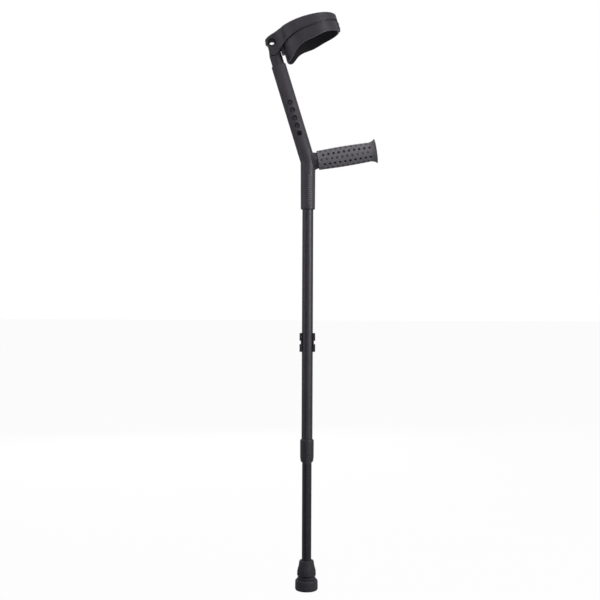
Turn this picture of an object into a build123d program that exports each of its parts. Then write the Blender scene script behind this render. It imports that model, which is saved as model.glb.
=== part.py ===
from build123d import *
import os
from math import cos, sin, radians

# Forearm crutch with a height-adjustable leg, a leaning forearm section and a
# hinged cuff. +Z runs up the shaft, +X is forward (the way the handgrip
# points), and the origin is the centre of the rubber tip's foot. Millimetres.

os.makedirs("parts", exist_ok=True)

# ---------------------------------------------------------------- shared sizes
# Tubes: outer radius, bore radius and the two ends
SHAFT_R, SHAFT_BORE = 11.0, 9.6
SHAFT_Z0, SHAFT_Z1 = 268.0, 834.0
LEG_R, LEG_BORE = 9.5, 8.3
LEG_Z0, LEG_Z1 = 7.2, 592.0
ARM_R, ARM_BORE = 12.5, 11.0
ARM_S0, ARM_S1 = 26.0, 216.0             # s is measured up the forearm axis
FIT = 0.03                               # radial clearance of close-fitting parts

PIN_PITCH = 22.5                         # height adjustment step
PIN_R, PIN_HOLE_R = 2.4, 2.55
CLIP_Z_LOW = 482.5
CLIP_Z_HIGH = CLIP_Z_LOW + PIN_PITCH

BEND_Z, ARM_TILT = 855.0, 17.2           # where the forearm section leans back
BUTTON_S, BUTTON_PITCH, BUTTON_STEPS = 58.0, 16.0, 5

GRIP_Z, GRIP_TILT = 854.8, 9.5           # handgrip axis
GRIP_D0, GRIP_D1 = 19.6, 137.4           # sleeve ends, d is measured along that axis
GRIP_BORE = 11.05
BOSS_BORE = 7.0

RIVET_Z, RIVET_R, RIVET_HOLE_R = 800.0, 2.0, 2.05
RIVET_SEAT_Y = 13.4
INSIDE_Y = 8.0                           # cuts through the +Y wall start here

HINGE_S = 247.5                          # cuff hinge
EYE_R, EYE_BORE = 6.6, 5.8
EAR_IN, EAR_OUT, CHEEK = 9.4, 12.6, 8.6  # ear faces and knuckle cheek, out from the middle

# ---------------------------------------------------------------- frames
arm_tilt, grip_tilt = radians(ARM_TILT), radians(GRIP_TILT)
arm_forward = Vector(cos(arm_tilt), 0, sin(arm_tilt))
arm_up = Vector(-sin(arm_tilt), 0, cos(arm_tilt))
bend = Vector(0, 0, BEND_Z)
arm = Plane(origin=bend, x_dir=arm_forward, z_dir=arm_up)               # across the forearm
arm_profile = Plane(origin=bend, x_dir=arm_forward, z_dir=(0, -1, 0))   # side view (v, s)

grip_out = Vector(cos(grip_tilt), 0, sin(grip_tilt))
grip_up = Vector(-sin(grip_tilt), 0, cos(grip_tilt))
grip_root = Vector(0, 0, GRIP_Z)
grip = Plane(origin=grip_root, x_dir=(0, -1, 0), z_dir=grip_out)        # across the grip
grip_profile = Plane(origin=grip_root, x_dir=grip_out, z_dir=(0, -1, 0))


def arm_point(v, y, s):
    """A point v forward, y sideways and s up along the forearm section."""
    return bend + arm_forward * v + Vector(0, y, 0) + arm_up * s


def arm_side(s, y=0.0):
    """A plane facing -Y, centred s up the forearm axis."""
    return Plane(origin=arm_point(0, y, s), x_dir=arm_forward, z_dir=(0, -1, 0))


def hinge_face(side, distance):
    """A plane on the hinge axis, facing outwards on the +Y (1) or -Y (-1) side."""
    return Plane(origin=arm_point(0, side * distance, HINGE_S), x_dir=arm_forward,
                 z_dir=(0, side, 0))


def y_plane(y):
    """The XZ plane moved to y. It faces -Y, so negative extrusions run to +Y."""
    return Plane.XZ.offset(-y)


def ring(outer, inner):
    """Draw an annulus in the open sketch."""
    Circle(outer)
    Circle(inner, mode=Mode.SUBTRACT)


def circles(piece):
    return piece.edges().filter_by(GeomType.CIRCLE)


def keep(piece, label):
    piece.part.label = label
    export_step(piece.part, "parts/" + label + ".step")


# ================================================================ shaft
# ---- outer tube, with the clip holes and the rivet hole in its +Y wall
with BuildPart() as shaft_tube:
    with BuildSketch(Plane.XY.offset(SHAFT_Z0)):
        ring(SHAFT_R, SHAFT_BORE)
    extrude(amount=SHAFT_Z1 - SHAFT_Z0)
    with BuildSketch(y_plane(INSIDE_Y)):
        with Locations((0, CLIP_Z_LOW), (0, CLIP_Z_HIGH)):
            Circle(PIN_HOLE_R)
    extrude(amount=-6, mode=Mode.SUBTRACT)
    with BuildSketch(y_plane(INSIDE_Y)):
        with Locations((0, RIVET_Z)):
            Circle(RIVET_HOLE_R)
    extrude(amount=-6, mode=Mode.SUBTRACT)
keep(shaft_tube, "shaft_tube")

# ---- one-piece handle body: lower sleeve, leaning upper sleeve, neck and the
#      boss that carries the soft handgrip
LOWER_SLEEVE = [  # radius, z
    (0, 760), (13.4, 760), (14.3, 761), (14.7, 834), (14.9, BEND_Z), (0, BEND_Z),
]
ELBOW_R = 14.95
SLEEVE_R, SLEEVE_BORE = 14.7, 12.6
SLEEVE_TOP_S, SLEEVE_BORE_S0 = 202.0, 20.5
BOSS_D0, BOSS_D1 = 10.0, GRIP_D1 - 4.6
BOSS_BORE_D0 = 44.0
RIB_COUNT, RIB_PITCH, RIB_Z0 = 15, 4.0, 771.0
SHAFT_SOCKET_Z0 = 750.0

with BuildPart() as handle_body:
    with BuildSketch(Plane.XZ):
        with BuildLine():
            Polyline(*LOWER_SLEEVE, close=True)
        make_face()
    revolve(axis=Axis.Z)
    with Locations((0, 0, BEND_Z)):
        Sphere(ELBOW_R)
    with BuildSketch(arm):
        Circle(SLEEVE_R)
    extrude(amount=SLEEVE_TOP_S)
    chamfer(circles(handle_body).sort_by(Axis.Z)[-1], 0.9)
    # neck from the bend to the handgrip
    with BuildSketch(grip.offset(3.0)):
        Ellipse(13.0, 20.5)
    with BuildSketch(grip.offset(12.5)):
        Ellipse(14.0, 17.6)
    with BuildSketch(grip.offset(GRIP_D0 - 0.4)):
        Circle(15.8)
    loft()
    with BuildSketch(grip.offset(BOSS_D0)):
        Circle(GRIP_BORE - 0.05)
    extrude(amount=BOSS_D1 - BOSS_D0)
    # raised cross ribs on the -Y side of the lower sleeve
    for i in range(RIB_COUNT):
        rib_base = (0, -13.2, RIB_Z0 + RIB_PITCH * i)
        with BuildSketch(Plane(origin=rib_base, x_dir=(1, 0, 0), z_dir=(0, -1, 0))):
            with Locations((3.4, 0)):
                RectangleRounded(7.6, 2.0, 0.6)
        extrude(amount=1.55)
    # bores for the shaft tube, the forearm tube and the grip end cap
    with BuildSketch(Plane.XY.offset(SHAFT_SOCKET_Z0)):
        Circle(SHAFT_R + 0.04)
    extrude(amount=SHAFT_Z1 + 0.5 - SHAFT_SOCKET_Z0, mode=Mode.SUBTRACT)
    with BuildSketch(arm.offset(SLEEVE_BORE_S0)):
        Circle(SLEEVE_BORE)
    extrude(amount=SLEEVE_TOP_S, mode=Mode.SUBTRACT)
    with BuildSketch(grip.offset(BOSS_BORE_D0)):
        Circle(BOSS_BORE)
    extrude(amount=GRIP_D1, mode=Mode.SUBTRACT)
    # row of locating holes in the -Y side of the upper sleeve
    for k in range(BUTTON_STEPS):
        with BuildSketch(arm_side(BUTTON_S + k * BUTTON_PITCH, -8)):
            Circle(4.4)
        extrude(amount=12, mode=Mode.SUBTRACT)
    # rivet hole and head seat in the +Y side of the lower sleeve
    with BuildSketch(y_plane(INSIDE_Y)):
        with Locations((0, RIVET_Z)):
            Circle(RIVET_HOLE_R)
    extrude(amount=-10, mode=Mode.SUBTRACT)
    with BuildSketch(y_plane(RIVET_SEAT_Y)):
        with Locations((0, RIVET_Z)):
            Circle(4.3)
    extrude(amount=-4, mode=Mode.SUBTRACT)
keep(handle_body, "handle_body")

# ---- rivet that holds the shaft tube in the handle body
SHANK_LENGTH = 5.0

with BuildPart() as handle_rivet:
    with BuildSketch(y_plane(RIVET_SEAT_Y - SHANK_LENGTH)):
        with Locations((0, RIVET_Z)):
            Circle(RIVET_R)
    extrude(amount=-SHANK_LENGTH)
    with BuildSketch(y_plane(RIVET_SEAT_Y)):
        with Locations((0, RIVET_Z)):
            Circle(4.0)
    extrude(amount=-1.4)
    chamfer(circles(handle_rivet).sort_by(Axis.Y)[-1], 0.6)
keep(handle_rivet, "handle_rivet")

# ---- soft handgrip sleeve: slightly barrelled, flared end, staggered dimples
GRIP_R, GRIP_SWELL, GRIP_LIP_R = 19.3, 1.2, 24.5
GRIP_ROUND = 1.6                         # rounding of the inner end
SHOULDER_D = GRIP_D0 + GRIP_ROUND
FLARE_D = GRIP_D1 - 12.0                 # where the barrel gives way to the flare
BARREL_STEPS = (18, 36, 52, 68, 86)      # spline stations past the shoulder
CAP_R = 14.1
RECESS_R, RECESS_D = CAP_R + 0.2, GRIP_D1 - 2.2
DIMPLE_ROWS, DIMPLES_PER_ROW, DIMPLE_PITCH = 12, 10, 10.3
DIMPLE_EVEN_START, DIMPLE_ODD_START = 8.5, 13.65
DIMPLE_R, DIMPLE_DEPTH = 2.0, 1.6


def grip_radius(d):
    """Barrel radius at d along the grip; it stays at GRIP_R past the flare start."""
    share = min(1.0, (d - GRIP_D0) / (FLARE_D - GRIP_D0))
    return GRIP_R + GRIP_SWELL * sin(radians(180 * share))


barrel = [(SHOULDER_D + q, grip_radius(SHOULDER_D + q)) for q in BARREL_STEPS]

with BuildPart() as grip_sleeve:
    with BuildSketch(grip_profile):
        with BuildLine():
            Polyline((GRIP_D1, RECESS_R), (RECESS_D, RECESS_R), (RECESS_D, GRIP_BORE),
                     (GRIP_D0, GRIP_BORE), (GRIP_D0, GRIP_R - GRIP_ROUND))
            RadiusArc((GRIP_D0, GRIP_R - GRIP_ROUND), (SHOULDER_D, GRIP_R), GRIP_ROUND)
            Spline((SHOULDER_D, GRIP_R), *barrel, (FLARE_D, GRIP_R))
            Spline((FLARE_D, GRIP_R), (GRIP_D1 - 5.0, GRIP_R + 1.7),
                   (GRIP_D1 - 0.9, GRIP_LIP_R), tangents=((1, 0), (0.55, 1)))
            Line((GRIP_D1 - 0.9, GRIP_LIP_R), (GRIP_D1, GRIP_LIP_R - 0.2))
            Line((GRIP_D1, GRIP_LIP_R - 0.2), (GRIP_D1, RECESS_R))
        make_face()
    revolve(axis=Axis(origin=grip_root, direction=grip_out))
    for row in range(DIMPLE_ROWS):
        start = GRIP_D0 + (DIMPLE_ODD_START if row % 2 else DIMPLE_EVEN_START)
        turn = radians(360 / DIMPLE_ROWS * row)
        outward = Vector(0, -cos(turn), 0) + grip_up * sin(turn)
        for i in range(DIMPLES_PER_ROW):
            d = start + i * DIMPLE_PITCH
            base = grip_root + grip_out * d + outward * (grip_radius(d) - DIMPLE_DEPTH)
            with BuildSketch(Plane(origin=base, x_dir=grip_out, z_dir=outward)):
                Circle(DIMPLE_R)
            extrude(amount=4, mode=Mode.SUBTRACT)
keep(grip_sleeve, "grip_sleeve")

# ---- end cap pressed into the hollow boss, keeping the sleeve on
with BuildPart() as grip_end_cap:
    with BuildSketch(grip.offset(GRIP_D1 - 2.1)):
        Circle(CAP_R)
    extrude(amount=1.9)
    fillet(circles(grip_end_cap).sort_by(Axis.X)[-1], 0.8)
    with BuildSketch(grip.offset(GRIP_D1 - 18)):
        ring(BOSS_BORE - 0.05, 4.6)
    extrude(amount=16.0)
keep(grip_end_cap, "grip_end_cap")

# ---- anti-rattle collar on the foot of the shaft tube
COLLAR_BORE = SHAFT_R + 0.05
COLLAR_PROFILE = [  # radius, z
    (9.9, 255.6), (11.6, 255.6), (12.7, 258.0), (13.6, 265.0), (13.7, 298.4), (12.9, 300.2),
    (COLLAR_BORE, 301.2), (COLLAR_BORE, 257.6), (9.9, 257.6),
]
COLLAR_STRIPS = [  # z, height, outer radius, inner radius, limiting width and depth
    (258.2, 13.0, 13.15, COLLAR_BORE, 15.4, 8),   # snap tongue in the window
    (252.0, 5.6, 12.6, 10.2, 13.6, 10),           # tab below the tongue
    (273.0, 1.8, 14.15, 13.2, 17.0, 10),          # ridge above the tongue
]

with BuildPart() as collar_shell:
    with BuildSketch(Plane.XZ):
        with BuildLine():
            Polyline(*COLLAR_PROFILE, close=True)
        make_face()
    revolve(axis=Axis.Z)
    # window in the -Y side
    with BuildSketch(y_plane(-12.3)):
        with Locations((0, 262.5)):
            Rectangle(17.0, 20.0)
    extrude(amount=3, mode=Mode.SUBTRACT)
    for z, height, outer, inner, width, depth in COLLAR_STRIPS:
        with BuildSketch(Plane.XY.offset(z)):
            ring(outer, inner)
            with Locations((0, -13)):
                Rectangle(width, depth, mode=Mode.INTERSECT)
        extrude(amount=height)
keep(collar_shell, "collar_shell")

# ---- bush inside the collar, running on the leg, split on its +Y side
with BuildPart() as collar_bush:
    with BuildSketch(Plane.XY.offset(257.8)):
        ring(SHAFT_R - 0.05, LEG_R + 0.08)
        with Locations((0, 10)):
            Rectangle(2.0, 6, mode=Mode.SUBTRACT)
    extrude(amount=9.9)
keep(collar_bush, "collar_bush")

# ================================================================ leg
# ---- leg tube, with its row of height holes in the +Y wall
with BuildPart() as leg_tube:
    with BuildSketch(Plane.XY.offset(LEG_Z0)):
        ring(LEG_R, LEG_BORE)
    extrude(amount=LEG_Z1 - LEG_Z0)
    with BuildSketch(y_plane(6)):
        for k in range(-3, 5):
            with Locations((0, CLIP_Z_LOW + k * PIN_PITCH)):
                Circle(PIN_HOLE_R)
    extrude(amount=-5, mode=Mode.SUBTRACT)
keep(leg_tube, "leg_tube")

# ---- guide pressed into the top of the leg tube
LEG_GUIDE_BORE, GUIDE_PLUG = 6.4, 12.0

with BuildPart() as leg_top_guide:
    with BuildSketch(Plane.XY.offset(LEG_Z1 - GUIDE_PLUG)):
        ring(LEG_BORE - FIT, LEG_GUIDE_BORE)
    extrude(amount=GUIDE_PLUG)
    with BuildSketch(Plane.XY.offset(LEG_Z1)):
        ring(LEG_R + 0.04, LEG_GUIDE_BORE)
    extrude(amount=5)
    chamfer(circles(leg_top_guide).sort_by(Axis.Z)[-1], 0.7)
keep(leg_top_guide, "leg_top_guide")

# ---- steel washer that stops the tube cutting through the rubber
WASHER_Z, WASHER_THICK = 5.6, 1.5

with BuildPart() as tip_washer:
    with BuildSketch(Plane.XY.offset(WASHER_Z)):
        Circle(LEG_R + 0.4)
    extrude(amount=WASHER_THICK)
keep(tip_washer, "tip_washer")

# ---- rubber tip: foot with ringed tread, neck ring, cone with four fins
FIN_PROFILE = [  # radius, z
    (12.0, 28.8), (18.0, 28.8), (18.6, 29.6), (18.6, 37.0), (18.2, 40.0), (15.5, 51.0),
    (12.0, 51.0),
]
TIP_PROFILE = [  # radius, z
    (0, 0), (21.0, 0), (22.2, 1.1), (22.7, 3.4), (22.6, 18.2), (21.4, 20.6), (18.4, 21.5),
    (16.8, 21.9), (16.8, 22.5), (18.2, 22.9), (18.2, 25.4), (16.0, 26.3), (16.0, 28.0),
    (17.2, 28.8), (16.8, 42.0), (14.6, 56.0), (13.8, 58.4), (13.0, 59.2), (0, 59.2),
]
FIN_WIDTH = 15.0
TREAD_RADII, TREAD_DEPTH = (7.0, 11.5, 16.0), 1.8

# a revolved band, cut down to a cross
with BuildPart() as tip_fins:
    with BuildSketch(Plane.XZ):
        with BuildLine():
            Polyline(*FIN_PROFILE, close=True)
        make_face()
    revolve(axis=Axis.Z)
    with BuildSketch(Plane.XY.offset(25)):
        Rectangle(FIN_WIDTH, 50.0)
        Rectangle(50.0, FIN_WIDTH)
    extrude(amount=30.0, mode=Mode.INTERSECT)

with BuildPart() as rubber_tip:
    with BuildSketch(Plane.XZ):
        with BuildLine():
            Polyline(*TIP_PROFILE, close=True)
        make_face()
    revolve(axis=Axis.Z)
    add(tip_fins.part)
    # washer pocket, then the socket for the leg tube
    with BuildSketch(Plane.XY.offset(WASHER_Z - 0.1)):
        Circle(LEG_R + 0.45)
    extrude(amount=WASHER_THICK + 0.15, mode=Mode.SUBTRACT)
    with BuildSketch(Plane.XY.offset(WASHER_Z + WASHER_THICK)):
        Circle(LEG_R + FIT)
    extrude(amount=60, mode=Mode.SUBTRACT)
    for radius in TREAD_RADII:
        with BuildSketch(Plane.XY):
            ring(radius + 1.1, radius - 0.9)
        extrude(amount=TREAD_DEPTH, mode=Mode.SUBTRACT)
keep(rubber_tip, "rubber_tip")

# ================================================================ height clip
# ---- U-shaped spring clip, open towards -Y, two finger lobes a side
CLIP_Z0, CLIP_HEIGHT = 475.4, 37.6
CLIP_R, CLIP_BORE = 13.2, SHAFT_R + 0.15
CLIP_ARM = 5.2                           # reach of the straight arms towards -Y
LOBE_HEIGHT, LOBE_Y = 15.4, -0.4

with BuildPart() as height_clip:
    with BuildSketch(Plane.XY.offset(CLIP_Z0)):
        Circle(CLIP_R)
        with Locations((0, -CLIP_ARM / 2)):
            Rectangle(2 * CLIP_R, CLIP_ARM)
        with Locations((0, -CLIP_ARM - 5)):
            Rectangle(40, 10.0, mode=Mode.SUBTRACT)
        Circle(CLIP_BORE, mode=Mode.SUBTRACT)
        with Locations((0, -4)):
            Rectangle(2 * CLIP_BORE, 8, mode=Mode.SUBTRACT)
    extrude(amount=CLIP_HEIGHT)
    # finger lobes, each with a dished face
    for side in (1, -1):
        for lobe_z0 in (CLIP_Z0, CLIP_Z0 + CLIP_HEIGHT - LOBE_HEIGHT):
            lobe_z = lobe_z0 + LOBE_HEIGHT / 2
            with BuildSketch(Plane(origin=(side * 12.6, 0, lobe_z), x_dir=(0, side, 0),
                                   z_dir=(side, 0, 0))):
                with Locations((LOBE_Y * side, 0)):
                    RectangleRounded(10.4, LOBE_HEIGHT, 4.4)
            extrude(amount=3.1)
            with BuildSketch(Plane(origin=(side * 14.5, 0, lobe_z), x_dir=(0, side, 0),
                                   z_dir=(side, 0, 0))):
                with Locations((LOBE_Y * side, 0)):
                    RectangleRounded(6.2, 11.0, 2.8)
            extrude(amount=3, mode=Mode.SUBTRACT)
    # pin bosses and their holes
    for z in (CLIP_Z_LOW, CLIP_Z_HIGH):
        with BuildSketch(y_plane(11.9)):
            with Locations((0, z)):
                Circle(5.4)
        extrude(amount=-3.4)
    with BuildSketch(y_plane(9)):
        with Locations((0, CLIP_Z_LOW), (0, CLIP_Z_HIGH)):
            Circle(PIN_R + FIT)
    extrude(amount=-5.0, mode=Mode.SUBTRACT)
keep(height_clip, "height_clip")

# ---- the clip's two steel pins
with BuildPart() as clip_pins:
    for z in (CLIP_Z_LOW, CLIP_Z_HIGH):
        with BuildSketch(y_plane(5.6)):
            with Locations((0, z)):
                Circle(PIN_R)
        extrude(amount=-8.3)
    chamfer(circles(clip_pins).group_by(Axis.Y)[0], 0.6)
keep(clip_pins, "clip_pins")

# ================================================================ forearm
# ---- forearm tube, with the snap button's hole in its -Y wall
with BuildPart() as forearm_tube:
    with BuildSketch(arm.offset(ARM_S0)):
        ring(ARM_R, ARM_BORE)
    extrude(amount=ARM_S1 - ARM_S0)
    with BuildSketch(arm_side(BUTTON_S, -7)):
        Circle(4.25)
    extrude(amount=8, mode=Mode.SUBTRACT)
keep(forearm_tube, "forearm_tube")

# ---- guide plug in the foot of the forearm tube
ARM_GUIDE_BORE, ARM_GUIDE_RIM = 7.0, 4.0

with BuildPart() as forearm_guide:
    with BuildSketch(arm.offset(ARM_S0)):
        ring(ARM_BORE - FIT, ARM_GUIDE_BORE)
    extrude(amount=GUIDE_PLUG)
    with BuildSketch(arm.offset(ARM_S0 - ARM_GUIDE_RIM)):
        ring(ARM_R + FIT, ARM_GUIDE_BORE)
    extrude(amount=ARM_GUIDE_RIM)
keep(forearm_guide, "forearm_guide")

# ---- hinge knuckle plugged into the top of the forearm tube: a round collar,
#      then a flat-cheeked tongue that narrows to the rounded hinge end
KNUCKLE_R, KNUCKLE_PLUG = 9.6, 20.0
KNUCKLE_PROFILE = [  # v, s
    (-12.6, ARM_S1), (12.6, ARM_S1), (12.6, 222.0), (KNUCKLE_R, 237.0), (KNUCKLE_R, HINGE_S),
    (-KNUCKLE_R, HINGE_S), (-KNUCKLE_R, 237.0), (-12.6, 222.0),
]

with BuildPart() as hinge_knuckle:
    with BuildSketch(arm.offset(ARM_S1)):
        Circle(ARM_R)
    extrude(amount=HINGE_S + KNUCKLE_R + 1 - ARM_S1)
    with BuildSketch(arm_profile):
        with BuildLine():
            Polyline(*KNUCKLE_PROFILE, close=True)
        make_face()
        with Locations((0, HINGE_S)):
            Circle(KNUCKLE_R)
    extrude(amount=20, both=True, mode=Mode.INTERSECT)
    # flat cheeks above the collar
    with BuildSketch(arm.offset(220.4)):
        with Locations((0, CHEEK + 5), (0, -CHEEK - 5)):
            Rectangle(40, 10.0)
    extrude(amount=60, mode=Mode.SUBTRACT)
    with BuildSketch(arm.offset(ARM_S1 - KNUCKLE_PLUG)):
        Circle(ARM_BORE - FIT)
    extrude(amount=KNUCKLE_PLUG)
    with BuildSketch(arm_side(HINGE_S)):
        Circle(EYE_R + 0.05)
    extrude(amount=14, both=True, mode=Mode.SUBTRACT)
keep(hinge_knuckle, "hinge_knuckle")

# ---- snap button: one bent strip of spring steel with a round button
STRIP_WIDTH = 8.0
STRIP_OUTLINE = [  # y, s
    (-9.8, 52.0), (-9.8, 66.0), (-1.5, 99.0), (1.5, 99.0), (9.6, 68.0), (9.6, 53.0),
    (8.8, 53.0), (8.8, 67.9), (1.0, 97.6), (-1.0, 97.6), (-9.0, 65.9), (-9.0, 52.0),
]

with BuildPart() as spring_button:
    with BuildSketch(arm_side(BUTTON_S, -9.4)):
        Circle(4.1)
    extrude(amount=4.9)
    fillet(circles(spring_button).sort_by(Axis.Y)[0], 1.2)
    with BuildSketch(Plane(origin=arm_point(-STRIP_WIDTH / 2, 0, 0), x_dir=(0, 1, 0),
                           z_dir=arm_forward)):
        with BuildLine():
            Polyline(*STRIP_OUTLINE, close=True)
        make_face()
    extrude(amount=STRIP_WIDTH)
keep(spring_button, "spring_button")

# ================================================================ cuff
OVAL_V, OVAL_LONG, OVAL_WIDE = 76.9, 58.5, 50.0   # centre and half sizes
OVAL_EGG = 0.09                                   # widens the front, narrows the back
OVAL_STEPS = 32


def oval(grow=0.0):
    """The shell's egg-shaped +Y half outline as (v, y), back to front, grown outwards."""
    points = []
    for i in range(OVAL_STEPS + 1):
        t = radians(180 * i / OVAL_STEPS)
        v = OVAL_V - OVAL_LONG * cos(t)
        y = OVAL_WIDE * sin(t) * (1 - OVAL_EGG * cos(t))
        normal_v = -OVAL_WIDE * (cos(t) - OVAL_EGG * cos(2 * t))
        normal_y = OVAL_LONG * sin(t)
        length = (normal_v ** 2 + normal_y ** 2) ** 0.5
        on_axis = i in (0, OVAL_STEPS)
        points.append((v + grow * normal_v / length,
                       0.0 if on_axis else y + grow * normal_y / length))
    return points


# ---- inner shell: closed oval, deeper at the back where its tail hangs down
shell_outer, shell_inner = oval(), oval(-2.6)
SHELL_BOTTOM = [  # v, s
    (15.0, 209.0), (17.6, 203.6), (23.0, 201.2), (29.0, 202.4), (35.0, 206.6), (42.0, 212.8),
    (50.0, 218.2), (60.0, 221.4), (78.0, 223.4), (92.0, 226.0), (104.0, 228.4),
    (120.0, 229.6), (141.0, 230.2),
]
SHELL_TOP = [  # v, s
    (141.0, 262.0), (125.0, 264.4), (110.0, 265.8), (70.0, 266.6), (45.0, 265.6),
    (28.0, 262.0), (15.0, 256.0),
]
PAD_BLOCKS = [  # s, height, back v, front v, half width
    (231.6, 17.6, 133.6, 138.2, 8.2),    # pad
    (235.5, 3.0, 134.0, 139.0, 7.6),     # lower rib
    (243.5, 3.0, 134.0, 139.0, 7.6),     # upper rib
]

with BuildPart() as cuff_shell:
    with BuildSketch(arm.offset(195)):
        with BuildLine():
            Spline(*shell_outer)
            Line(shell_outer[-1], shell_inner[-1])
            Spline(*reversed(shell_inner))
            Line(shell_inner[0], shell_outer[0])
        make_face()
    extrude(amount=80)
    with BuildSketch(arm_profile):
        with BuildLine():
            Spline(*SHELL_BOTTOM)
            Line(SHELL_BOTTOM[-1], SHELL_TOP[0])
            Spline(*SHELL_TOP)
            Line(SHELL_TOP[-1], SHELL_BOTTOM[0])
        make_face()
    extrude(amount=60, both=True, mode=Mode.INTERSECT)
    # ribbed pad on the front with a flex groove down either side of it
    for s, height, back, front, half in PAD_BLOCKS:
        with BuildSketch(arm.offset(s)):
            with BuildLine():
                Polyline((back, -half), (front - 1, -half), (front, 1.2 - half),
                         (front, half - 1.2), (front - 1, half), (back, half), close=True)
            make_face()
        extrude(amount=height)
    with BuildSketch(arm.offset(226)):
        with Locations((134.6, 11.6)):
            Circle(1.9)
    extrude(amount=23.4, mode=Mode.SUBTRACT)
    mirror(about=Plane.XZ)
keep(cuff_shell, "cuff_shell")

# ---- outer bracket: two hinge ears running into a band round the shell
EAR_BACK_V = -12.6
shell_seat = oval(0.08)
band_half = [(8.8, EAR_OUT), (12.0, 13.4), (15.6, 15.5), (19.8, 19.1), (24.5, 23.6)]  # v, y
band_half += [point for point in oval(3.0) if point[0] > 29.5]
BAND_TOP = [  # v, s
    (-11.7, 255.0), (-6.8, 258.7), (5.5, 263.3), (17.0, 265.9), (38.6, 267.9), (59.5, 268.4),
    (79.7, 267.9), (99.8, 266.9), (115.0, 265.8), (128.0, 264.3), (141.0, 261.6),
]
BAND_BOTTOM = [  # v, s
    (141.0, 251.8), (130.7, 251.4), (117.4, 250.6), (106.0, 249.7), (94.0, 248.9),
    (79.0, 248.0), (58.0, 246.4), (47.0, 244.8), (37.3, 242.2), (29.5, 239.6), (21.1, 235.9),
    (14.4, 231.2), (7.8, 225.9), (2.6, 222.7), (-2.6, 221.6), (-7.0, 223.6), (-9.4, 228.6),
]
EAR_BACK = [  # v, s
    (-9.4, 228.6), (-9.4, 236.0), (-9.0, 241.0), (-9.4, 246.4), (-12.1, 250.4),
    (-12.2, 253.4), (-11.7, 255.0),
]
BRIDGE = [  # v, s
    (13.9, 220.0), (26.0, 220.0), (26.0, 261.5), (15.6, 259.0), (12.9, 248.0), (12.9, 238.0),
]

with BuildPart() as cuff_bracket:
    with BuildSketch(arm.offset(215)):
        with BuildLine():
            Spline(*band_half)
            Polyline(band_half[-1], (EAR_BACK_V, 0.0), (EAR_BACK_V, EAR_OUT), band_half[0])
        make_face()
        with BuildLine():
            Spline(*shell_seat)
            Line(shell_seat[-1], shell_seat[0])
        make_face(mode=Mode.SUBTRACT)
        with Locations((2.6, 0)):
            Rectangle(31.2, 2 * EAR_IN, mode=Mode.SUBTRACT)
        with Locations((21.0, 0)):
            Rectangle(12.0, 15.0, mode=Mode.SUBTRACT)
    extrude(amount=65)
    with BuildSketch(arm_profile):
        with BuildLine():
            Spline(*BAND_TOP)
            Line(BAND_TOP[-1], BAND_BOTTOM[0])
            Spline(*BAND_BOTTOM)
            Polyline(*EAR_BACK)
        make_face()
    extrude(amount=60, both=True, mode=Mode.INTERSECT)
    mirror(about=Plane.XZ)
    # bridge between the ears behind the shell, the stop that meets the knuckle
    with BuildSketch(arm_profile):
        with BuildLine():
            Polyline(*BRIDGE, close=True)
        make_face()
    extrude(amount=EAR_IN + 0.4, both=True)
    # clear the room for the shell
    with BuildSketch(arm.offset(200)):
        with BuildLine():
            Spline(*shell_seat)
            Spline(*[(v, -y) for v, y in reversed(shell_seat)])
        make_face()
    extrude(amount=80, mode=Mode.SUBTRACT)
    with BuildSketch(arm_side(HINGE_S)):
        Circle(EYE_R + FIT)
    extrude(amount=25, both=True, mode=Mode.SUBTRACT)
keep(cuff_bracket, "cuff_bracket")

# ---- hollow eyelet rivet the cuff turns on
with BuildPart() as hinge_eyelet:
    with BuildSketch(arm_side(HINGE_S)):
        Circle(EYE_R)
    extrude(amount=EAR_OUT + 0.75, both=True)
    for side in (1, -1):
        with BuildSketch(hinge_face(side, EAR_OUT + 0.02)):
            Circle(7.9)
        extrude(amount=0.73)
    for end in (0, -1):
        fillet(circles(hinge_eyelet).sort_by(Axis.Y)[end], 0.4)
    with BuildSketch(arm_side(HINGE_S)):
        Circle(EYE_BORE)
    extrude(amount=20, both=True, mode=Mode.SUBTRACT)
keep(hinge_eyelet, "hinge_eyelet")

# ---- plastic washers between the ears and the knuckle
WASHER_GAP = 0.06                        # clearance on each face

with BuildPart() as hinge_washers:
    for side in (1, -1):
        with BuildSketch(hinge_face(side, CHEEK + WASHER_GAP)):
            ring(9.4, EYE_R + FIT)
        extrude(amount=EAR_IN - CHEEK - 2 * WASHER_GAP)
keep(hinge_washers, "hinge_washers")
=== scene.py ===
"""A black forearm crutch: leg, shaft, handgrip, tilted forearm section and open cuff.

It stands along +Z with the tip's tread at z = 0 and the camera in front, on the -Y side. The handgrip
reaches out to the right (+X) and the forearm section leans to the left (-X) as it rises.
"""
import math

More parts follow.
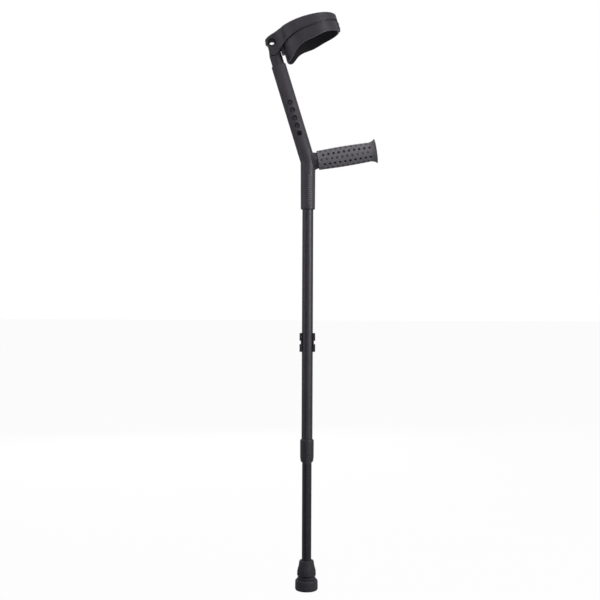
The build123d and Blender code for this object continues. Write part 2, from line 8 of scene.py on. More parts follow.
import bpy
import bmesh
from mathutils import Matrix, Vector

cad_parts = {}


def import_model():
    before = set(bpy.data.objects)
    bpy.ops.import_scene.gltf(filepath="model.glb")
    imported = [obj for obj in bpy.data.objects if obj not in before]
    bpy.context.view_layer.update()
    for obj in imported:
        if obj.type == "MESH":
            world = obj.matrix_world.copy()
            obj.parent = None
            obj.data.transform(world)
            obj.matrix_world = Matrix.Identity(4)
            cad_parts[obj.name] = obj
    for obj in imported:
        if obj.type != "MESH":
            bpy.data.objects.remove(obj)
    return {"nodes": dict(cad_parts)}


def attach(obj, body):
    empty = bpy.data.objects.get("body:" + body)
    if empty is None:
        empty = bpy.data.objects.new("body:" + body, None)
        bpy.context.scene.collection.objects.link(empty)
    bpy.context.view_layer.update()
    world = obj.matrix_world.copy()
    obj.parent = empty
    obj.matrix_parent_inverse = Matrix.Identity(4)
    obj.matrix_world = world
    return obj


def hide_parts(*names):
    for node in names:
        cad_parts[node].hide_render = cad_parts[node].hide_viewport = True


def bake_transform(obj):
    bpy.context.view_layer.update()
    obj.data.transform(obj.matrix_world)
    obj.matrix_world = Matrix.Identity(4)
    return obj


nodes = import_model()["nodes"]
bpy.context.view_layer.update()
MM = 0.001

# Axes of the forearm section: up along it, and square to it towards +X
ARM_TILT = math.radians(17.2)
ARM_HEIGHT = 0.855
ARM_UP = Vector((-math.sin(ARM_TILT), 0, math.cos(ARM_TILT)))
ARM_FORWARD = Vector((math.cos(ARM_TILT), 0, math.sin(ARM_TILT)))
ARM_ORIGIN = Vector((0, 0, ARM_HEIGHT))
CUFF_OFFSET = 0.0769          # from the arm's axis to the cuff's, along ARM_FORWARD

# Axes of the handgrip: out along it, and up square to it
GRIP_TILT = math.radians(9.5)
GRIP_OUT = Vector((math.cos(GRIP_TILT), 0, math.sin(GRIP_TILT)))
GRIP_UP = Vector((-math.sin(GRIP_TILT), 0, math.cos(GRIP_TILT)))
GRIP_ORIGIN = Vector((0, 0, 0.8548))

# Button holes in the front of the handle body, painted with shade in and round them, along ARM_UP
HOLE_FIRST = 0.058
HOLE_PITCH = 0.016
HOLE_COUNT = 5

SPECULAR_TINT = (0.985, 0.965, 1.0)
STUDIO_COLOUR = (1.0, 0.978, 1.04)


# ==========================================================================================
# Node helpers
# ==========================================================================================
class Nodes:
    """Short ways to add and wire shader nodes in one tree."""

    def __init__(self, tree):
        self.tree = tree
        tree.nodes.clear()

    def add(self, kind, inputs=None, **properties):
        node = self.tree.nodes.new(kind)
        for name, value in properties.items():
            setattr(node, name, value)
        for key, value in (inputs or {}).items():
            self.put(node.inputs[key], value)
        return node

    def put(self, socket, value):
        """Link a socket, or set its value; colours are given without alpha."""
        if isinstance(value, bpy.types.NodeSocket):
            self.tree.links.new(value, socket)
        else:
            socket.default_value = (*value, 1.0) if socket.type == "RGBA" else value

    def remap(self, value, start=0.0, end=1.0, low=0.0, high=1.0, smooth=False):
        """Carry start..end to low..high, clamped."""
        inputs = {"Value": value, "From Min": start, "From Max": end, "To Min": low, "To Max": high}
        interpolation = "SMOOTHSTEP" if smooth else "LINEAR"
        node = self.add("ShaderNodeMapRange", inputs, interpolation_type=interpolation)
        return node.outputs["Result"]

    def math(self, operation, first, second=0.0):
        return self.add("ShaderNodeMath", {0: first, 1: second}, operation=operation).outputs[0]

    def total(self, first, *others):
        for other in others:
            first = self.math("ADD", first, other)
        return first

    def product(self, first, *others):
        for other in others:
            first = self.math("MULTIPLY", first, other)
        return first

    def mix_shader(self, factor, first, second):
        return self.add("ShaderNodeMixShader", {0: factor, 1: first, 2: second}).outputs[0]


class Material(Nodes):
    """A Principled material whose textures work in object space, in metres."""

    SOCKETS = {"color": "Base Color", "rough": "Roughness", "metal": "Metallic", "normal": "Normal",
               "spec": "Specular IOR Level", "tint": "Specular Tint",
               "sheen": "Sheen Weight", "sheen_rough": "Sheen Roughness"}

    def __init__(self, name):
        self.material = bpy.data.materials.new(name)
        self.material.use_nodes = True
        super().__init__(self.material.node_tree)
        self.surface = self.add("ShaderNodeOutputMaterial").inputs["Surface"]
        self.principled = self.add("ShaderNodeBsdfPrincipled")
        self.put(self.surface, self.principled.outputs[0])
        self.coord = self.add("ShaderNodeTexCoord").outputs["Object"]
        self.geometry = self.add("ShaderNodeNewGeometry").outputs

    def finish(self, **inputs):
        for name, value in inputs.items():
            self.put(self.principled.inputs[self.SOCKETS[name]], value)
        return self.material

    def mapping(self, scale=(1, 1, 1), turn=(0, 0, 0), source=None):
        inputs = {"Vector": source or self.coord, "Scale": scale, "Rotation": turn}
        return self.add("ShaderNodeMapping", inputs).outputs[0]

    def noise(self, scale, detail=2.0, rough=0.5, vector=None):
        inputs = {"Vector": vector or self.coord, "Scale": scale, "Detail": detail,
                  "Roughness": rough}
        return self.add("ShaderNodeTexNoise", inputs).outputs["Fac"]

    def streaks(self, scale, detail, rough, turn=(0, 0, 0), source=None):
        """Noise with its own scale on each axis."""
        return self.noise(1.0, detail, rough, self.mapping(scale, turn, source))

    def cells(self, scale, feature="F1", **inputs):
        inputs = {"Vector": self.coord, "Scale": scale, **inputs}
        return self.add("ShaderNodeTexVoronoi", inputs, feature=feature).outputs["Distance"]

    def spread(self, noise, low=0.0, high=1.0):
        """Stretch the middle of a noise over low..high."""
        return self.remap(noise, start=0.3, end=0.7, low=low, high=high)

    def mix(self, factor, first, second):
        inputs = {"Factor": factor, "A": first, "B": second}
        return self.add("ShaderNodeMix", inputs, data_type="RGBA").outputs["Result"]

    def mottle(self, mask, base, dark, light):
        """The base colour, drifting between two multiples of itself."""
        return self.mix(mask, shade(base, dark), shade(base, light))

    def tint(self, colour, mask, amount, towards):
        return self.mix(self.product(mask, amount), colour, towards)

    def vector_math(self, operation, first, second=None, scale=None):
        inputs = {0: first, 1: second, "Scale": scale}
        inputs = {key: value for key, value in inputs.items() if value is not None}
        node = self.add("ShaderNodeVectorMath", inputs, operation=operation)
        return node.outputs["Value" if operation == "DOT_PRODUCT" else 0]

    def length(self, first, second):
        return self.math("SQRT", self.total(self.product(first, first),
                                            self.product(second, second)))

    def edges(self, radius):
        """A mask that is 1 on edges within radius and 0 on open faces, and the rounded normal."""
        rounded = self.add("ShaderNodeBevel", {"Radius": radius}, samples=6).outputs[0]
        facing = self.vector_math("DOT_PRODUCT", rounded, self.geometry["Normal"])
        return self.remap(facing, start=0.9995, end=0.93), rounded

    def bump(self, height, distance, strength, normal):
        inputs = {"Strength": strength, "Distance": distance, "Height": height, "Normal": normal}
        return self.add("ShaderNodeBump", inputs).outputs[0]


def shade(colour, factor):
    return tuple(channel * factor for channel in colour)


# ==========================================================================================
# Materials. Texture scales are per metre; bump depths and edge radii are in metres
# ==========================================================================================
def tube_material(name, base=(0.0288, 0.0268, 0.0330), rough=0.42, tilt=0.0):
    """Black anodised tube: fine lines along it, cloudy sheen, faint rub marks, paler edges."""
    m = Material(name)
    along = m.mapping(turn=(0, tilt, 0))
    drawn = m.streaks(scale=(5200, 5200, 26), detail=3.0, rough=0.6, source=along)
    coarse = m.streaks(scale=(900, 900, 7), detail=2.0, rough=0.55, source=along)
    cloud = m.noise(scale=38.0, detail=3.0, rough=0.55)
    speck = m.noise(scale=2600.0, detail=1.0)
    rub = m.streaks(scale=(240, 240, 9), detail=4.0, rough=0.7, source=along)
    rub = m.remap(rub, start=0.60, end=0.74, smooth=True)
    edge_mask, normal = m.edges(radius=0.0005)

    colour = m.mottle(m.spread(cloud), base, dark=0.88, light=1.16)
    colour = m.tint(colour, rub, amount=0.22, towards=shade(base, 2.1))
    colour = m.tint(colour, edge_mask, amount=0.5, towards=(0.16, 0.16, 0.17))
    gloss = m.total(
        m.remap(coarse, start=0.25, end=0.75, low=rough - 0.035, high=rough + 0.045),
        m.spread(cloud, low=-0.02, high=0.03),
        m.spread(drawn, low=-0.02, high=0.02))
    normal = m.bump(drawn, distance=0.000012, strength=0.55, normal=normal)
    normal = m.bump(speck, distance=0.000008, strength=0.5, normal=normal)
    return m.finish(color=colour, rough=gloss, metal=0.0, spec=0.62, tint=SPECULAR_TINT,
                    normal=normal)


def moulded_material(name, base=(0.034, 0.032, 0.037), rough=0.47, grain=1500.0, depth=0.00006,
                     wear=(0.13, 0.128, 0.135), edge=0.0007, wear_amount=0.45, extra=None):
    """Moulded plastic: pebbled grain, slow colour and gloss drift, edges rubbed towards wear.

    extra(m, colour, roughness) may add local changes; it returns colour, roughness and specular.
    """
    m = Material(name)
    pebble = m.cells(scale=grain, feature="SMOOTH_F1", Smoothness=0.6)
    fine = m.noise(scale=grain * 2.3, rough=0.6)
    cloud = m.noise(scale=24.0, detail=4.0, rough=0.6)
    blotch = m.noise(scale=120.0, detail=3.0, rough=0.55)
    scuff = m.streaks(scale=(420, 420, 60), detail=5.0, rough=0.72, turn=(0.2, 0.5, 0.1))
    scuff = m.remap(scuff, start=0.62, end=0.78, smooth=True)
    edge_mask, normal = m.edges(radius=edge)
    patchy = m.noise(scale=260.0, detail=3.0, rough=0.6)
    broken_edge = m.product(edge_mask, m.remap(patchy, start=0.35, end=0.65, low=0.35))

    colour = m.mottle(m.spread(cloud), base, dark=0.84, light=1.16)
    colour = m.tint(colour, m.remap(pebble, end=0.6), amount=0.25, towards=shade(base, 0.7))
    colour = m.tint(colour, scuff, amount=0.10, towards=wear)
    colour = m.tint(colour, broken_edge, amount=wear_amount, towards=wear)
    gloss = m.total(m.spread(blotch, low=rough - 0.04, high=rough + 0.05),
                    m.spread(fine, low=-0.03, high=0.03))
    gloss = m.math("SUBTRACT", gloss, m.product(edge_mask, 0.08))
    spec = 0.5
    if extra is not None:
        colour, gloss, spec = extra(m, colour, gloss)
    normal = m.bump(pebble, distance=depth, strength=0.6, normal=normal)
    normal = m.bump(fine, distance=depth * 0.3, strength=0.5, normal=normal)
    return m.finish(color=colour, rough=gloss, spec=spec, tint=SPECULAR_TINT, normal=normal)


def rubber_material(name, base, dark, rough=0.68, grain=2100.0, depth=0.00005, sheen=0.12):
    """Matt rubber with a fine skin; the mesh's hollow_shade attribute paints shade, turning it
    towards dark.
    """
    m = Material(name)
    skin = m.noise(scale=grain, detail=3.0, rough=0.62)
    pores = m.cells(scale=grain * 0.7)
    cloud = m.noise(scale=42.0, detail=4.0, rough=0.6)
    patch = m.noise(scale=210.0, detail=3.0, rough=0.55)
    edge_mask, normal = m.edges(radius=0.0004)
    hollow_shade = m.add("ShaderNodeAttribute", attribute_name="hollow_shade").outputs["Fac"]

    colour = m.mottle(m.spread(cloud), base, dark=0.90, light=1.10)
    colour = m.tint(colour, m.remap(patch, start=0.4, end=0.7), amount=0.18,
                    towards=shade(base, 1.25))
    colour = m.tint(colour, m.remap(pores, end=0.35, low=1.0, high=0.0), amount=0.22,
                    towards=shade(base, 0.6))
    # painted shade in the dimples and grooves
    colour = m.mix(hollow_shade, colour, dark)
    colour = m.tint(colour, edge_mask, amount=0.18, towards=shade(base, 1.7))
    gloss = m.total(m.spread(patch, low=rough - 0.06, high=rough + 0.06),
                    m.spread(skin, low=-0.03, high=0.03))
    normal = m.bump(skin, distance=depth, strength=0.7, normal=normal)
    normal = m.bump(pores, distance=depth * 0.5, strength=0.5, normal=normal)
    return m.finish(color=colour, rough=gloss, spec=0.32, sheen=sheen, sheen_rough=0.5,
                    normal=normal)


def steel_material(name, base=(0.42, 0.42, 0.43), rough=0.32, metal=1.0, spec=0.5):
    """Steel: turned lines, small stains and brighter rubbed edges."""
    m = Material(name)
    turned = m.streaks(scale=(400, 5200, 400), detail=3.0, rough=0.6)
    stain = m.noise(scale=330.0, detail=4.0, rough=0.65)
    edge_mask, normal = m.edges(radius=0.0003)
    colour = m.mottle(m.remap(stain, start=0.35, end=0.7), base, dark=0.75, light=1.1)
    colour = m.tint(colour, edge_mask, amount=0.5, towards=shade(base, 1.6))
    gloss = m.total(m.spread(stain, low=rough - 0.06, high=rough + 0.09),
                    m.spread(turned, low=-0.03, high=0.03))
    normal = m.bump(turned, distance=0.00001, strength=0.5, normal=normal)
    return m.finish(color=colour, rough=gloss, metal=metal, spec=spec, normal=normal)


def handle_extra(m, colour, gloss):
    """Painted shade in and round the button holes, a painted highlight on the ribs low on the front,
    and a duller upper sleeve.
    """
    x, y, z = m.add("ShaderNodeSeparateXYZ", {0: m.coord}).outputs[0:3]
    cos_tilt, sin_tilt = math.cos(ARM_TILT), math.sin(ARM_TILT)
    height = m.math("SUBTRACT", z, ARM_HEIGHT)
    forward = m.total(m.product(x, cos_tilt), m.product(height, sin_tilt))
    up = m.math("SUBTRACT", m.product(height, cos_tilt), m.product(x, sin_tilt))

    # painted shade in the button holes and round their rims: distance to the nearest centre, on the
    # front face only
    last = HOLE_COUNT - 1
    number = m.remap(up, start=HOLE_FIRST, end=HOLE_FIRST + last * HOLE_PITCH, high=float(last))
    centre = m.total(m.product(m.math("ROUND", number), HOLE_PITCH), HOLE_FIRST)
    distance = m.length(m.math("SUBTRACT", up, centre), forward)
    hole_shade = m.product(m.remap(distance, start=0.0046, end=0.0054, low=1.0, high=0.0, smooth=True),
                     m.remap(y, start=-0.008, end=-0.010))
    colour = m.tint(colour, hole_shade, amount=0.92, towards=(0.004, 0.004, 0.0045))

    # painted highlight on the ribs' tops; the ribs stand out past this radius from the shaft's axis
    rib_highlight = m.product(m.remap(m.length(x, y), start=0.01475, end=0.01483),
                    m.remap(y, start=-0.0138, end=-0.0142),
                    m.remap(z, start=0.832, end=0.831))
    colour = m.tint(colour, rib_highlight, amount=0.8, towards=(0.20, 0.196, 0.205))
    gloss = m.total(gloss, m.remap(z, start=0.86, end=0.90, high=0.16, smooth=True))
    return colour, gloss, m.remap(hole_shade, low=0.5, high=0.04)


def shell_extra(m, colour, gloss):
    """Painted shade on the cuff shell's inner faces, which are also duller than the outer ones."""
    offset = m.vector_math("SUBTRACT", m.coord, ARM_ORIGIN + ARM_FORWARD * CUFF_OFFSET)
    up = m.vector_math("DOT_PRODUCT", offset, ARM_UP)
    lift = m.vector_math("SCALE", ARM_UP, scale=up)
    outward = m.vector_math("NORMALIZE", m.vector_math("SUBTRACT", offset, lift))
    facing = m.vector_math("DOT_PRODUCT", outward, m.geometry["True Normal"])
    # painted shade on faces that turn in towards the cuff's axis
    inside_shade = m.remap(facing, start=-0.25, end=-0.55, smooth=True)
    colour = m.tint(colour, inside_shade, amount=0.78, towards=(0.006, 0.0057, 0.0066))
    gloss = m.total(gloss, m.product(inside_shade, 0.14))
    return colour, gloss, m.remap(inside_shade, low=0.5, high=0.12)


TUBE = tube_material("anodised_tube")
ARM_TUBE = tube_material("anodised_arm_tube", tilt=ARM_TILT, rough=0.56)
LEG = tube_material("anodised_leg", base=(0.017, 0.0158, 0.0185), rough=0.36)
HANDLE = moulded_material("moulded_handle", base=(0.052, 0.049, 0.055), rough=0.46,
                          extra=handle_extra)
COLLAR = moulded_material("moulded_collar", base=(0.036, 0.034, 0.039), rough=0.42,
                          grain=1900.0, depth=0.00004)
CLIP = moulded_material("moulded_clip", base=(0.030, 0.0285, 0.033), rough=0.40,
                        grain=2400.0, depth=0.00003)
KNUCKLE = moulded_material("moulded_knuckle", rough=0.45, grain=2000.0, depth=0.00004)
SHELL = moulded_material("moulded_cuff_shell", base=(0.042, 0.040, 0.046), rough=0.44,
                         grain=1700.0, depth=0.00004, wear=(0.26, 0.255, 0.27), edge=0.0011,
                         wear_amount=0.8, extra=shell_extra)
BRACKET = moulded_material("moulded_cuff_band", base=(0.044, 0.042, 0.048), rough=0.46,
                           grain=1300.0)
BUSH = moulded_material("moulded_bush", base=(0.060, 0.060, 0.064), rough=0.50,
                        grain=2600.0, depth=0.00003)
CAP = moulded_material("moulded_cap", base=(0.10, 0.098, 0.104), rough=0.50,
                       grain=1800.0, depth=0.00004)
GRIP = rubber_material("soft_grip_rubber", base=(0.170, 0.165, 0.171), dark=(0.014, 0.013, 0.015))
TIP = rubber_material("tip_rubber", base=(0.036, 0.034, 0.039), dark=(0.012, 0.012, 0.013),
                      rough=0.58, grain=1500.0, sheen=0.05)
STEEL = steel_material("plated_steel")
BLACK_STEEL = steel_material("blackened_steel", base=(0.007, 0.0068, 0.0076), rough=0.55,
                             metal=0.0, spec=0.16)

MATERIAL_OF = {
    "shaft_tube": TUBE, "forearm_tube": ARM_TUBE, "leg_tube": LEG,
    "handle_body": HANDLE, "collar_shell": COLLAR, "height_clip": CLIP, "hinge_knuckle": KNUCKLE,
    "cuff_shell": SHELL, "cuff_bracket": BRACKET, "collar_bush": BUSH, "leg_top_guide": BUSH,
    "forearm_guide": BUSH, "hinge_washers": BUSH, "grip_end_cap": CAP, "handle_rivet": STEEL,
    "tip_washer": STEEL, "clip_pins": STEEL, "spring_button": BLACK_STEEL,
    "hinge_eyelet": BLACK_STEEL, "grip_sleeve": GRIP, "rubber_tip": TIP,
}
for piece_name, piece in nodes.items():
    piece.data.materials.clear()
    piece.data.materials.append(MATERIAL_OF[piece_name])


def round_rims(piece, width):
    """A small radius on the cuff's rims, to catch the light."""
    bevel = piece.modifiers.new("Bevel", "BEVEL")
    bevel.width = width
    bevel.segments = 2
    bevel.limit_method = "ANGLE"
    bevel.angle_limit = math.radians(50)
    bevel.use_clamp_overlap = True


round_rims(nodes["cuff_shell"], width=0.0006)
round_rims(nodes["cuff_bracket"], width=0.0007)


# ==========================================================================================
# Pieces made here
# ==========================================================================================
def add_object(name, data):
    ob = bpy.data.objects.new(name, data)
    bpy.context.scene.collection.objects.link(ob)
    return ob


def flat_mesh(name, points, faces, material):
    mesh = bpy.data.meshes.new(name)
    mesh.from_pydata(points, [], faces)
    mesh.validate()
    mesh.update()
    mesh.materials.append(material)
    return add_object(name, mesh)


def rubber_mesh(name, points, faces, material, hollow_shades):
    """A smooth mesh with the painted-shade value of each vertex, as its hollow_shade attribute."""
    ob = flat_mesh(name, points, faces, material)
    ob.data.polygons.foreach_set("use_smooth", [True] * len(ob.data.polygons))
    hollow_shade = ob.data.attributes.new("hollow_shade", "FLOAT", "POINT")
    hollow_shade.data.foreach_set("value", hollow_shades)
    return ob


def smoothstep(start, end, x):
    t = max(0.0, min(1.0, (x - start) / (end - start)))
    return t * t * (3 - 2 * t)


# ---- Handgrip sleeve, in mm: distance out from GRIP_ORIGIN, and radius from the grip's axis
GRIP_START = 19.6
GRIP_RADIUS = 19.3
LIP_RADIUS = 24.4
BORE_RADIUS = 11.06
FLARE_START, FLARE_END = 124.5, 136.9
SWELL, SWELL_LENGTH = 1.2, 105.8
GRIP_TURN = math.radians(-9.0)            # the sleeve sits turned a little on its bar

CELL = 12                                 # mesh steps from dimple to dimple, both ways
HALF_CELL = CELL // 2
DIMPLE_ROWS = 12                          # rows round the sleeve
DIMPLES_PER_ROW = 10
GRIP_COLUMNS = DIMPLE_ROWS * CELL
FIRST_DIMPLE = 26.2
STEP = 10.3 / CELL                        # mesh step along the sleeve
ROW_STEP = 10.0                           # width of a row, used for dimple shapes
GRID_STEPS = range(-6, 122)               # counted from the first dimple
EVEN_ROW_DEPTH = 0.6                      # even rows are shallower
EVEN_ROW_SHADE = 0.62                    # and get lighter painted shade

# One entry per square ring of mesh points round a dimple's centre: (round radius, depth)
DIMPLE_RINGS = [(0.0, 2.0), (1.3, 2.0), (2.3, 1.85), (2.72, 0.45), (3.08, 0.0), (3.85, 0.0)]
LAST_ROUND_RING = 4
OUTER_RING_EASE = 0.45                    # the outermost ring goes only part way to round

# (distance, radius): the near end, before the dimpled grid
GRIP_NEAR_END = [(GRIP_START + 0.02, GRIP_RADIUS - 1.9), (GRIP_START + 0.35, GRIP_RADIUS - 0.95),
                 (GRIP_START + 0.85, GRIP_RADIUS - 0.35)]
FLARE_STATIONS = [131.9, 132.8, 133.7, 134.5, 135.2, 135.8, 136.3, 136.75]
# (distance, radius): round the flared lip, into its recess and back along the bore
GRIP_LIP_AND_BORE = [
    (137.05, LIP_RADIUS - 0.10), (137.28, LIP_RADIUS - 0.12), (137.40, LIP_RADIUS - 0.45),
    (137.38, LIP_RADIUS - 1.1), (137.2, 20.0), (137.1, 17.0), (137.15, 14.9), (137.0, 14.4),
    (136.6, 14.3), (135.4, 14.3), (135.2, 14.1), (135.2, 11.3), (135.0, BORE_RADIUS),
    (100.0, BORE_RADIUS), (60.0, BORE_RADIUS), (GRIP_START + 0.3, BORE_RADIUS),
    (GRIP_START, 11.3), (GRIP_START, GRIP_RADIUS - 2.2)]


def grip_radius(distance):
    """Radius of the sleeve without dimples: a gentle swell, then the flare."""
    share = max(0.0, min(1.0, (distance - GRIP_START) / SWELL_LENGTH))
    radius = GRIP_RADIUS - 0.2 + SWELL * math.sin(math.pi * share)
    if distance < FLARE_START:
        return radius
    t = (distance - FLARE_START) / (FLARE_END - FLARE_START)
    return radius + (LIP_RADIUS - GRIP_RADIUS + 0.2) * (0.28 * t + 0.72 * t ** 3.2)


def column_angle(column):
    return 2 * math.pi * (column - HALF_CELL) / GRIP_COLUMNS


def dimpled_point(step, column):
    """Distance, angle and depth of a grid point, square rings being drawn into round ones."""
    distance, angle = FIRST_DIMPLE + STEP * step, column_angle(column)
    row = column // CELL
    shift = HALF_CELL if row % 2 else 0                # odd rows are staggered
    number = round((step - shift) / CELL)
    across = column % CELL - HALF_CELL
    along = step - shift - CELL * number
    ring = max(abs(across), abs(along))
    if not 0 <= number < DIMPLES_PER_ROW or ring >= len(DIMPLE_RINGS):
        return distance, angle, 0.0

    ring_radius, depth = DIMPLE_RINGS[ring]
    if ring:
        ease = 1.0 if ring <= LAST_ROUND_RING else OUTER_RING_EASE
        heading = (math.pi / 4) * (min(abs(across), abs(along)) / ring)
        if abs(across) < abs(along):
            heading = math.pi / 2 - heading
        square_u, square_w = across * ROW_STEP / CELL, along * STEP
        round_u = math.copysign(math.cos(heading), across) * ring_radius
        round_w = math.copysign(math.sin(heading), along) * ring_radius
        u = square_u + (round_u - square_u) * ease
        w = square_w + (round_w - square_w) * ease
        angle = 2 * math.pi * (row * CELL) / GRIP_COLUMNS + u / GRIP_RADIUS
        distance = (FIRST_DIMPLE + STEP * (CELL * number + shift)) + w
    return distance, angle, depth * (1.0 if row % 2 else EVEN_ROW_DEPTH)


def grip_point(distance, radius, angle):
    angle += GRIP_TURN
    return tuple(GRIP_ORIGIN + GRIP_OUT * (distance * MM)
                 + Vector((0, -1, 0)) * (radius * math.cos(angle) * MM)
                 + GRIP_UP * (radius * math.sin(angle) * MM))


def soft_grip():
    """Rubber sleeve with staggered dimples and a flared end."""
    points, hollow_shades = [], []

    def plain_rings(stations):
        for distance, radius in stations:
            for column in range(GRIP_COLUMNS):
                points.append(grip_point(distance, radius, column_angle(column)))
                hollow_shades.append(0.0)

    plain_rings(GRIP_NEAR_END)
    for step in GRID_STEPS:
        for column in range(GRIP_COLUMNS):
            distance, angle, depth = dimpled_point(step, column)
            points.append(grip_point(distance, grip_radius(distance) - depth, angle))
            # painted shade in each dimple, lighter in the even rows
            strength = 1.0 if column // CELL % 2 else EVEN_ROW_SHADE
            hollow_shades.append(smoothstep(0.25, 1.3, depth) * strength)
    plain_rings([(distance, grip_radius(distance)) for distance in FLARE_STATIONS])
    plain_rings(GRIP_LIP_AND_BORE)

    faces = []
    for here in range(0, len(points), GRIP_COLUMNS):
        there = (here + GRIP_COLUMNS) % len(points)    # the last ring joins the first
        for i in range(GRIP_COLUMNS):
            j = (i + 1) % GRIP_COLUMNS
            faces.append((here + i, there + i, there + j, here + j))

    ob = rubber_mesh("soft_grip", points, faces, GRIP, hollow_shades)
    subdivision = ob.modifiers.new("Subdivision", "SUBSURF")
    subdivision.levels = subdivision.render_levels = 1
    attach(ob, "shaft")
    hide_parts("grip_sleeve")


soft_grip()

# ---- Rubber tip, in mm: (radius, height above the tread)
TIP_COLUMNS = 144
BORE_FLOOR = 5.5
TIP_OUTSIDE = [
    # the ringed foot
    (16.9, 0.0), (19.6, 0.0), (20.9, 0.1), (21.7, 0.55), (22.2, 1.2), (22.5, 2.2), (22.68, 3.6),
    (22.68, 8.0), (22.64, 12.0), (22.5, 16.0), (22.4, 17.8), (22.05, 19.2), (21.3, 20.35),
    (20.2, 21.0), (18.9, 21.35), (17.4, 21.6), (16.9, 21.75), (16.75, 22.05), (16.9, 22.35),
    # the neck ring and the groove over it
    (17.5, 22.6), (18.0, 22.95), (18.2, 23.5), (18.25, 24.6), (18.0, 25.3), (17.3, 25.75),
    (16.4, 26.0), (16.05, 26.3), (15.95, 27.0), (16.0, 27.9), (16.15, 28.25), (16.6, 28.6),
    # the cone and its rounded top
    (17.05, 29.0), (17.15, 29.6), (17.1, 31.0), (17.0, 33.0), (16.92, 35.0), (16.86, 37.0),
    (16.8, 39.0), (16.72, 41.0), (16.5, 43.0), (16.25, 45.0), (15.98, 47.0), (15.7, 49.0),
    (15.4, 51.0), (15.05, 53.5), (14.7, 56.0), (14.4, 57.3), (13.95, 58.3), (13.2, 58.95),
    (12.0, 59.2)]
# over the top's inner edge, down the bore and in across its floor
TIP_BORE = [
    (10.6, 59.2), (9.9, 59.0), (9.56, 58.5), (9.55, 57.0), (9.55, 40.0), (9.55, 24.0),
    (9.55, 7.6), (9.6, 7.25), (9.97, 7.15), (9.97, 5.55), (9.8, BORE_FLOOR), (5.0, BORE_FLOOR),
    (0.9, BORE_FLOOR)]
# from the middle of the tread outwards, through three round grooves
TIP_TREAD = [
    (0.9, 0.0), (5.6, 0.0), (5.95, 0.12), (6.1, 0.5), (6.1, 1.7), (6.3, 1.8), (7.9, 1.8),
    (8.1, 1.7), (8.1, 0.5), (8.25, 0.12), (8.6, 0.0), (10.1, 0.0), (10.45, 0.12), (10.6, 0.5),
    (10.6, 1.7), (10.8, 1.8), (12.4, 1.8), (12.6, 1.7), (12.6, 0.5), (12.75, 0.12), (13.1, 0.0),
    (14.6, 0.0), (14.95, 0.12), (15.1, 0.5), (15.1, 1.7), (15.3, 1.8), (16.35, 1.8),
    (16.5, 1.7), (16.5, 0.4)]


def fin_height(z):
    """How far the fins stand out of the cone: quick to rise, slow to fade."""
    main = 1.55 * smoothstep(28.35, 29.4, z) * (1 - smoothstep(36.0, 50.5, z))
    return main + 0.15 * smoothstep(28.6, 30.0, z) * (1 - smoothstep(40, 52, z))


def tip_ferrule():
    """Rubber tip: ringed foot, neck ring and four fins that fade into the cone."""
    walls = TIP_OUTSIDE + TIP_BORE
    points, hollow_shades = [], []
    for index, (radius, z) in enumerate(walls + TIP_TREAD):
        # the neck grooves and the tread's grooves get painted shade
        in_groove = ((21.5 < z < 22.3 and radius < 17.2) or (26.1 < z < 28.3 and radius < 16.3)
                     or (index >= len(walls) and z > 0.3))
        for i in range(TIP_COLUMNS):
            angle = 2 * math.pi * i / TIP_COLUMNS
            off_fin = abs(((math.degrees(angle) + 45) % 90) - 45)
            reach = radius
            if index < len(TIP_OUTSIDE):
                reach += fin_height(z) * (1 - smoothstep(21.5, 26.0, off_fin))
            points.append((reach * MM * math.sin(angle), -reach * MM * math.cos(angle), z * MM))
            hollow_shades.append(1.0 if in_groove else 0.0)

    # the surface runs out across the tread, up the outside and down the bore
    order = list(range(len(walls), len(walls) + len(TIP_TREAD))) + list(range(len(walls)))
    starts = [ring * TIP_COLUMNS for ring in order]
    neighbours = [(i, (i + 1) % TIP_COLUMNS) for i in range(TIP_COLUMNS)]
    faces = [(here + i, here + j, there + j, there + i)
             for here, there in zip(starts[:-1], starts[1:]) for i, j in neighbours]
    tread_centre = len(points)
    floor_centre = tread_centre + 1
    points += [(0, 0, 0), (0, 0, BORE_FLOOR * MM)]
    hollow_shades += [0.0, 0.0]
    for i, j in neighbours:
        faces.append((tread_centre, starts[0] + j, starts[0] + i))
        faces.append((floor_centre, starts[-1] + i, starts[-1] + j))

    ob = rubber_mesh("tip_ferrule", points, faces, TIP, hollow_shades)
    bm = bmesh.new()
    bm.from_mesh(ob.data)
    bmesh.ops.recalc_face_normals(bm, faces=bm.faces)
    bm.to_mesh(ob.data)
    bm.free()
    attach(ob, "leg")
    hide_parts("rubber_tip")


tip_ferrule()


def snap_leaf():
    """Snap button and leaf: a copy of the CAD button's mesh in blackened steel, standing in for the
    hidden original.
    """
    mesh = nodes["spring_button"].data.copy()
    mesh.name = "snap_leaf"
    ob = add_object("snap_leaf", mesh)
    mesh.materials.clear()
    mesh.materials.append(BLACK_STEEL)
    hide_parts("spring_button")
    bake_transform(ob)


snap_leaf()


# ==========================================================================================
# Floor, world, lights and camera
# ==========================================================================================
FLOOR_HALF = 30.0
FLOOR_CUTS = 12
FLOOR_Z = -0.069      # where the tip reaches with the leg drawn fully out


def floor_material():
    """Paper white with a trace of shadow, and clear from underneath to show the tread."""
    m = Material("pale_floor")
    grain = m.noise(scale=9.0, detail=3.0)
    m.finish(color=m.mix(grain, (0.93, 0.93, 0.93), (0.96, 0.96, 0.96)), rough=0.9, spec=0.1)
    glow = m.add("ShaderNodeEmission", {"Color": (1, 1, 1), "Strength": 1.0}).outputs[0]
    paper = m.mix_shader(0.05, glow, m.principled.outputs[0])
    clear = m.add("ShaderNodeBsdfTransparent").outputs[0]
    m.put(m.surface, m.mix_shader(m.geometry["Backfacing"], paper, clear))
    return m.material


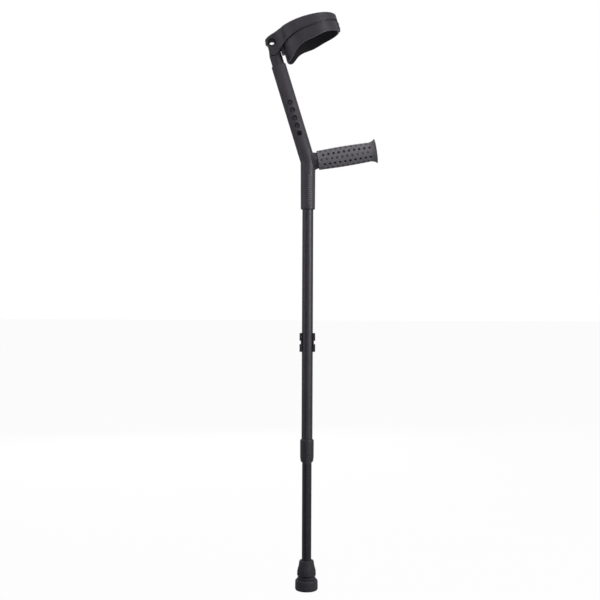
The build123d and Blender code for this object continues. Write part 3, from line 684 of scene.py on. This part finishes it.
def floor():
    ticks = [-FLOOR_HALF + 2 * FLOOR_HALF * i / FLOOR_CUTS for i in range(FLOOR_CUTS + 1)]
    points = [(x, y, FLOOR_Z) for y in ticks for x in ticks]
    row = FLOOR_CUTS + 1
    faces = [(j * row + i, j * row + i + 1, (j + 1) * row + i + 1, (j + 1) * row + i)
             for j in range(FLOOR_CUTS) for i in range(FLOOR_CUTS)]
    ob = flat_mesh("floor", points, faces, floor_material())
    ob.visible_diffuse = False
    ob.visible_glossy = False


def studio_world():
    """White to the camera; as light, brighter behind the crutch and dimmer low down."""
    world = bpy.data.worlds.new("studio")
    bpy.context.scene.world = world
    world.use_nodes = True
    w = Nodes(world.node_tree)
    generated = w.add("ShaderNodeTexCoord").outputs["Generated"]
    direction = w.add("ShaderNodeSeparateXYZ", {0: generated}).outputs
    behind = w.remap(direction["Y"], start=-0.75, end=0.65, low=0.11, high=0.45, smooth=True)
    above = w.remap(direction["Z"], start=-0.6, end=0.35, low=0.85, smooth=True)
    light = w.add("ShaderNodeBackground",
                  {"Color": (1.0, 0.98, 1.04), "Strength": w.product(behind, above)})
    white = w.add("ShaderNodeBackground", {"Color": (1, 1, 1), "Strength": 1.0})
    seen = w.add("ShaderNodeLightPath").outputs["Is Camera Ray"]
    shader = w.mix_shader(seen, light.outputs[0], white.outputs[0])
    w.add("ShaderNodeOutputWorld", {"Surface": shader})


def area_light(name, place, aim, size, power, spread=math.pi):
    light = bpy.data.lights.new(name, "AREA")
    light.shape = "RECTANGLE"
    light.size, light.size_y = size
    light.energy = power
    light.color = STUDIO_COLOUR
    light.spread = spread
    ob = add_object(name, light)
    ob.location = place
    ob.rotation_mode = "QUATERNION"
    ob.rotation_quaternion = (Vector(aim) - Vector(place)).to_track_quat("-Z", "Y")
    return ob


def lights():
    # name, place, aim, size, power
    soft_boxes = [
        ("key", (2.1, -1.55, 1.25), (0, 0, 0.8), (1.1, 1.6), 42),
        ("fill", (-2.4, -0.75, 1.1), (0, 0, 0.8), (1.2, 1.6), 9),
        ("front", (0.3, -3.0, 1.1), (0, 0, 0.7), (1.8, 2.0), 4.5),
        ("low", (0.5, -2.3, 0.12), (0.05, 0, 0.85), (1.6, 0.9), 2.5),
        ("top", (0.1, -0.3, 3.0), (0, 0, 0.9), (1.6, 1.6), 9),
    ]
    for box in soft_boxes:
        area_light(*box)
    # lights the far side without leaving a bright rim seen from the front
    back = area_light("back", place=(-0.6, 2.7, 1.3), aim=(0, 0, 0.7), size=(2.0, 1.8), power=40)
    back.visible_glossy = False
    area_light("cuff_side", place=(-1.3, -1.7, 2.1), aim=(-0.03, 0, 1.12), size=(0.7, 0.7),
               power=0.5, spread=math.radians(36))


def camera():
    data = bpy.data.cameras.new("camera")
    data.sensor_width = 36.0
    data.lens = 60.0
    data.clip_start, data.clip_end = 0.05, 60.0
    ob = add_object("camera", data)
    ob.location = (-0.015, -2.0, 0.579)
    ob.rotation_mode = "XYZ"
    ob.rotation_euler = (math.radians(90), math.radians(-0.22), 0)
    bpy.context.scene.camera = ob


floor()
studio_world()
lights()
camera()

view = bpy.context.scene.view_settings
view.view_transform = "Standard"
view.look = "None"
view.exposure = 0.0
view.gamma = 1.0
